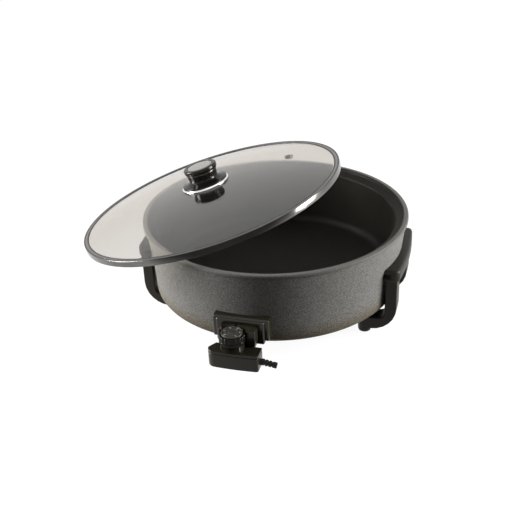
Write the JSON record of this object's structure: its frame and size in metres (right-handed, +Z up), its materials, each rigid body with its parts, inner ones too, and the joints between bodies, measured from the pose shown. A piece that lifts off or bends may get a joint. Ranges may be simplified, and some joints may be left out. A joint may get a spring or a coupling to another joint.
{
  "type": "electric cooking pot",
  "caption": "Wide round electric pan in a flared shell, on two moulded handles with feet, with a plug-in thermostat control and a domed glass lid set aslant on the rim.",
  "frame": {"origin": "middle of the outer shell's flat underside", "axes": "+Z up along the pot's own axis, -Y towards the plug-in control, handles at -X and +X"},
  "size_m": [0.5362, 0.4816, 0.2315],
  "materials": {
    "cast_non_stick": "matte dark non-stick coating on cast aluminium",
    "speckled_coat": "fine speckled dark grey coating, satin",
    "reflector_aluminium": "bright rolled sheet",
    "element_steel": "heat-darkened tube",
    "polished_steel": "polished",
    "zinc_steel": "zinc plated",
    "contact_brass": "nickel plated",
    "ceramic": "unglazed",
    "black_phenolic": "satin moulding",
    "black_gloss": "glossy moulding",
    "dial_face": "glossy with a pale printed number ring",
    "black_rubber": "matte",
    "silicone": "translucent matte",
    "lid_glass": "lightly smoked clear glass",
    "brushed_inset": "circular brushed"
  },
  "bodies": {
    "pot": {"cooking_pan": "cast_non_stick", "outer_shell": "speckled_coat", "heat_reflector": "reflector_aluminium", "heating_element": "element_steel", "body_screw_1": "zinc_steel", "body_screw_2": "zinc_steel", "body_screw_3": "zinc_steel", "contact_pin_left": "contact_brass", "contact_pin_right": "contact_brass", "probe_sleeve": "zinc_steel", "socket_frame": "black_phenolic", "socket_insulator": "ceramic", "socket_screw_1": "zinc_steel", "socket_screw_2": "zinc_steel", "handle_left": "black_phenolic", "handle_right": "black_phenolic", "handle_screw_1": "zinc_steel", "handle_screw_2": "zinc_steel", "handle_screw_3": "zinc_steel", "handle_screw_4": "zinc_steel", "foot_screw_1": "zinc_steel", "foot_screw_2": "zinc_steel", "foot_screw_3": "zinc_steel", "foot_screw_4": "zinc_steel", "foot_nut_1": "zinc_steel", "foot_nut_2": "zinc_steel", "foot_nut_3": "zinc_steel", "foot_nut_4": "zinc_steel", "foot_pad_1": "black_rubber", "foot_pad_2": "black_rubber", "foot_pad_3": "black_rubber", "foot_pad_4": "black_rubber"},
    "lid": {"lid_glass": "lid_glass", "lid_band": "polished_steel", "steam_vent": "polished_steel", "knob_seat_ring": "polished_steel", "knob_base": "black_phenolic", "knob_collar": "polished_steel", "knob_cap": "black_phenolic", "knob_inset": "brushed_inset", "knob_washer": "silicone", "knob_screw": "zinc_steel"},
    "control": {"control_base": "black_gloss", "control_cover": "black_gloss", "contact_sleeve_left": "contact_brass", "contact_sleeve_right": "contact_brass", "thermostat_probe": "polished_steel", "thermostat_switch": "ceramic", "strain_relief": "black_rubber", "control_screw_1": "zinc_steel", "control_screw_2": "zinc_steel"},
    "thermostat_dial": {"dial": "black_gloss", "dial_plate": "dial_face", "dial_spindle": "zinc_steel"}
  },
  "joints": [
    {"name": "lid_lift", "type": "slide", "parent": "pot", "child": "lid", "axis": [0, 0, 1], "range_m": [0, 0.14]},
    {"name": "control_unplug", "type": "slide", "parent": "pot", "child": "control", "axis": [0, -1, 0], "range_m": [0, 0.06]},
    {"name": "dial_turn", "type": "hinge", "parent": "control", "child": "thermostat_dial", "pos_m": [-0.0055, -0.2345, 0.0274], "axis": [0, 0, -1], "range_deg": [0, 270]}
  ]
}
